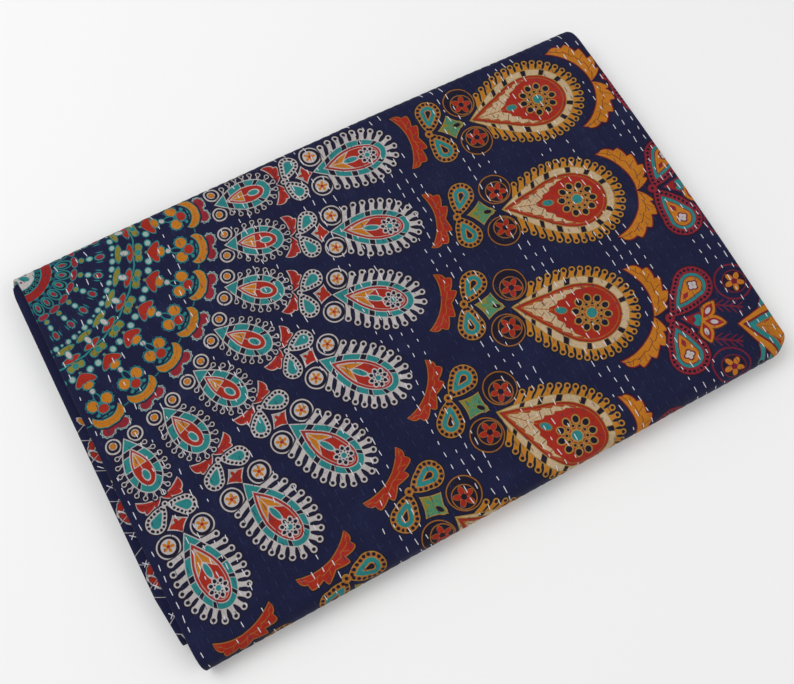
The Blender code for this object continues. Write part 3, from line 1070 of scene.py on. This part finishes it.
def makeWeave():
    # plain weave: warp and weft sines in turn, over each other where their signs agree; gives the
    # height of the cloth and a fleck of light and dark yarns
    group, (place,) = openGroup("weave", "place", "height fleck")
    flat = addNode(group, "SeparateXYZ", (place,))
    turn = math.pi / finish["weavePitch"]
    warp, weft = (flat[0] * turn).sine(), (flat[1] * turn).sine()
    height = warp * weft * 0.5 + 0.5
    slubU = noiseAt(place, finish["slub"], 1.0, stretch=(0.08, 4.0))
    slubV = noiseAt(place, finish["slub"], 1.0, stretch=(4.0, 0.08))
    return closeGroup(group, height, slubU + slubV)


def makePrintedCotton():
    # the print on the face, plain navy on the back, uneven as the dye took, with the weave and
    # small creases between the rows of stitches as bump
    material, tree, shader = openMaterial("printedCotton", 0.12)
    place = addNode(tree, "UVMap", uv_map="flatCloth")[0]
    backSide = addNode(tree, "Attribute", attribute_name="backSide")[2]
    colour = mixShade(backSide, useGroup(makePrint(), place), "plain")
    height, fleck = useGroup(makeWeave(), place)
    blotch = noiseAt(place, finish["blotch"], 4.0, 0.6)
    speck = noiseAt(place, finish["speck"], 2.0, 0.7)
    mottle = noiseAt(place, finish["mottle"], 3.0, 0.65)
    colour = mixShade(mottle.maths("MULTIPLY_ADD", 2.4, -1.15, clamp=True) * 0.42, colour, "plum")
    fade = (blotch - 0.5) * 0.5 + (fleck - 1.0) * 0.12 + (speck - 0.5) * 0.6
    colour = mixShade(fade.maths("MULTIPLY_ADD", 0.55, 0.0, clamp=True), colour, "faded")
    colour = mixShade(fade.maths("MULTIPLY_ADD", -1.3, 0.06, clamp=True), colour, "night")
    feed(tree, shader.inputs["Base Color"], colour)
    crease = noiseAt(place, finish["crease"], 3.0, 0.55, stretch=(1.0, 0.45))
    raiseBump(tree, shader, crease * 0.55 + fleck * 0.10 + height * 0.05, 0.001)
    feed(tree, shader.inputs["Roughness"], blotch * 0.16 + 0.80)
    shader.inputs["Sheen Weight"].default_value = 0.06
    shader.inputs["Sheen Roughness"].default_value = 0.5
    return material


cloth.data.materials.append(makePrintedCotton())
print("print made,", sum(len(group.nodes) for group in bpy.data.node_groups), "nodes in groups")

# Running stitches in the furrows and cross stitches along one hem, in metres
sewing = dict(
    long=(0.0034, 0.0094), halfWide=0.00052, blueWide=0.00034, proud=0.00034, dip=0.00050, clear=0.00004,
    lean=0.10, stray=0.0016, sway=0.00025, missing=0.10, toV=0.010, hemAway=0.008, fromU=0.001,
    # white rows: the first and every so many on, how far each band reaches, thinned out at the left
    whiteFrom=5.0, whiteEvery=7.7, whiteReach=1.8, sparseBefore=0.19, sparseLuck=0.45,
    # the broken white row along the crease
    edgeRowTo=0.008, edgeRowV=(-0.42, -0.06), edgeRowFrom=-0.255, edgeRowLuck=0.55,
    crossFrom=0.190, crossTo=0.345, crossEvery=0.0225, crossStray=0.003, crossedFrom=0.245, crossTurn=0.75,
    crossLean=0.2, crossSize=0.0042, crossInset=0.0052,
)


def onCloth(u, v, lift):
    # flat places (u, v) on the folded cloth: linear between four grid points, then out along the
    # cross product of the two edges by the lift
    points, gridX, gridY = clothGrid["points"], clothGrid["flatX"], clothGrid["flatY"]
    i = np.clip(np.searchsorted(gridX, u) - 1, 0, len(gridX) - 2)
    k = np.clip(np.searchsorted(gridY, v) - 1, 0, len(gridY) - 2)
    s = ((u - gridX[i]) / (gridX[i + 1] - gridX[i]))[..., None]
    t = ((v - gridY[k]) / (gridY[k + 1] - gridY[k]))[..., None]
    nearLeft, nearRight = points[k, i], points[k, i + 1]
    farLeft, farRight = points[k + 1, i], points[k + 1, i + 1]
    place = (nearLeft * (1 - s) + nearRight * s) * (1 - t) + (farLeft * (1 - s) + farRight * s) * t
    alongU = (nearRight - nearLeft) * (1 - t) + (farRight - farLeft) * t
    alongV = (farLeft - nearLeft) * (1 - s) + (farRight - nearRight) * s
    out = np.cross(alongU, alongV)
    out /= np.linalg.norm(out, axis=-1, keepdims=True)
    return place + out * lift[..., None]


def makeThread(name, u, v, length, lean, shade, halfWide):
    # short half-round threads: a low arch, the root of 1 - |a|^3 at a share a of its half length,
    # that narrows and dips into the cloth at both ends
    stations, sides = 6, 4
    u, v, length, turn = [values[:, None, None] for values in (u, v, length, lean)]
    a = np.linspace(-1.0, 1.0, stations)[None, :, None]
    c = np.array((-1.0, -0.45, 0.45, 1.0))
    arch = np.sqrt(1.0 - np.clip(np.abs(a), 0, 1) ** 3)
    side = c * halfWide * (0.25 + 0.75 * arch)
    ahead = a * length / 2
    gridU = u + side * np.cos(turn) - ahead * np.sin(turn)
    gridV = v + ahead * np.cos(turn) + side * np.sin(turn)
    lift = (sewing["proud"] + sewing["dip"]) * arch * (1.0 - 0.75 * np.abs(c) ** 2.5) - sewing["dip"]
    points = onCloth(gridU, gridV, np.broadcast_to(lift, gridU.shape) + sewing["clear"])
    cell = np.arange(len(u))[:, None, None]
    corner = (cell * stations + np.arange(stations - 1)[:, None]) * sides + np.arange(sides - 1)
    quads = np.stack((corner, corner + 1, corner + sides + 1, corner + sides), axis=-1).reshape(-1, 4)
    piece = meshObject(name, points.reshape(-1, 3), quads.tolist())
    # OFBake gives each thread a cell of a square
    columns = int(np.ceil(np.sqrt(len(u))))
    bakeX = cell % columns + 0.15 + 0.7 * (c + 1) / 2 + 0 * a
    bakeY = cell // columns + 0.15 + 0.7 * (a + 1) / 2 + 0 * c
    loops = cornerPoints(piece.data)
    addPlan(piece.data, "OFBake", bakeX.ravel()[loops] / columns, bakeY.ravel()[loops] / columns)
    addValue(piece.data, "twist", ahead + side * 2.0)
    piece.data.materials.append(makeThreadCotton(name, shade))
    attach(piece, "root")
    return piece


def makeThreadCotton(name, shade):
    # twisted thread: slanting strands as a sine of the way along and across it
    material, tree, shader = openMaterial(name, 0.25, 0.75)
    twist = addNode(tree, "Attribute", attribute_name="twist")[2]
    strand = (twist * (2 * math.pi / finish["twistPitch"])).sine() * 0.5 + 0.5
    feed(tree, shader.inputs["Base Color"], mixShade(strand * 0.3, linearShade(shade), "faded"))
    raiseBump(tree, shader, strand, 0.0001)
    return material


def placeStitches():
    # one stitch for each period of each row, a few left out and each a little off its place; gives
    # flat places, lengths, leans and which are of white thread
    half = int(quilt["length"] / quilt["rowPitch"]) // 2
    period = quilt["stitchPeriod"]
    fromV = clothGrid["flatY"].min() + sewing["hemAway"]
    turns = np.arange(int(fromV / period), int(sewing["toV"] / period) + 1)
    row, turn = [grid.ravel() for grid in np.meshgrid(np.arange(-half - 1, half + 1), turns, indexing="ij")]

    def around(reach):
        return chance.uniform(-reach, reach, len(row))

    v = (turn - rowShift(row) / (2 * np.pi)) * period + around(sewing["stray"])
    u = clothGrid["middle"] + (row + 0.5) * quilt["rowPitch"] + around(sewing["sway"])
    length = chance.uniform(*sewing["long"], len(row))
    lean = around(sewing["lean"])
    luck = chance.uniform(0, 1, len(row))
    inRows = u / quilt["rowPitch"] - sewing["whiteFrom"]
    offWhite = np.abs(inRows - sewing["whiteEvery"] * np.round(inRows / sewing["whiteEvery"]))
    white = (offWhite < sewing["whiteReach"]) & ((u > sewing["sparseBefore"]) | (luck > sewing["sparseLuck"]))
    edgeRow = (u < sewing["edgeRowTo"]) & (v > sewing["edgeRowV"][0]) & (v < sewing["edgeRowV"][1])
    white |= edgeRow & ((v < sewing["edgeRowFrom"]) | (luck > sewing["edgeRowLuck"]))
    kept = (luck > sewing["missing"]) & (u > sewing["fromU"]) & (v > fromV) & (v < sewing["toV"])
    return [values[kept] for values in (u, v, length, lean, white)]


def makeStitches():
    # the running stitches by their thread, and slanting and crossed threads along the side hem
    *placed, white = placeStitches()
    pieces = [makeThread(name, *(values[chosen] for values in placed), shade, sewing[wide])
              for name, chosen, shade, wide in (("stitches_white", white, "white", "halfWide"),
                                                ("stitches_blue", ~white, "blue", "blueWide"))]
    places = np.arange(sewing["crossFrom"], sewing["crossTo"], sewing["crossEvery"])
    places = places + chance.uniform(-sewing["crossStray"], sewing["crossStray"], len(places))
    crossed = places[places > sewing["crossedFrom"]]
    v = np.concatenate((places, crossed))
    lean = np.repeat((sewing["crossTurn"], -sewing["crossTurn"]), (len(places), len(crossed)))
    lean = lean + chance.uniform(-sewing["crossLean"], sewing["crossLean"], len(v))
    u = np.full(len(v), clothGrid["flatX"].max() - sewing["crossInset"])
    pieces.append(makeThread("stitches_hem", u, v, np.full(len(v), sewing["crossSize"] * 2), lean, "white",
                             sewing["halfWide"]))
    return pieces


stitches = makeStitches()
print("stitches made,", sum(len(piece.data.polygons) for piece in stitches), "faces")

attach(cloth, "root")
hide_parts("quilt")

# A plain pale floor, soft light from above and the far left, and the camera of the photo
studio = dict(
    halfFloor=3.0, floorDrop=0.0004, floorColour=(0.86, 0.86, 0.86, 1.0), worldStrength=0.55,
    # name, place, size, power
    lights=(("keyLight", (-0.9, 0.9, 1.9), 1.6, 26), ("fillLight", (1.3, -1.2, 1.8), 1.8, 14)),
    lens=47.42, cameraTurn=(19.13, -2.22, -28.75),
    cornerSeen=(-0.2829, 0.1837, 0.0272), cornerToCamera=(0.0920, -0.4497, 0.8538),
)


def makeFloor():
    # one flat square just under the cloth
    corners = np.array(((-1, -1, 0), (1, -1, 0), (1, 1, 0), (-1, 1, 0))) * studio["halfFloor"]
    floor = meshObject("floor", corners - (0, 0, studio["floorDrop"]), [[0, 1, 2, 3]], False)
    paper, _, shader = openMaterial("paperFloor", 0.5, 0.9)
    shader.inputs["Base Color"].default_value = studio["floorColour"]
    floor.data.materials.append(paper)


def makeLight(name, place, size, power):
    # a square soft light at a place, turned to the origin
    data = bpy.data.lights.new(name, "AREA")
    data.shape, data.size, data.energy = "SQUARE", size, power
    light = addObject(name, data)
    away = np.array(place) / np.linalg.norm(place)
    light.location = place
    light.rotation_euler = (math.acos(away[2]), 0.0, math.atan2(away[0], -away[1]))


def makeCamera():
    # the photo's own lens and turn, set off from the far left corner of the panel
    data = bpy.data.cameras.new("photoCamera")
    data.lens = studio["lens"]
    camera = addObject("photoCamera", data)
    camera.location = np.array(studio["cornerSeen"]) + np.array(studio["cornerToCamera"])
    camera.rotation_euler = [math.radians(turn) for turn in studio["cameraTurn"]]
    bpy.context.scene.camera = camera


makeFloor()
for light in studio["lights"]:
    makeLight(*light)
makeCamera()
world = bpy.data.worlds.new("studioWorld")
world.use_nodes = True
background = world.node_tree.nodes["Background"]
background.inputs["Color"].default_value = (1, 1, 1, 1)
background.inputs["Strength"].default_value = studio["worldStrength"]
bpy.context.scene.world = world
bpy.context.scene.view_settings.view_transform = "Standard"
print("studio made")
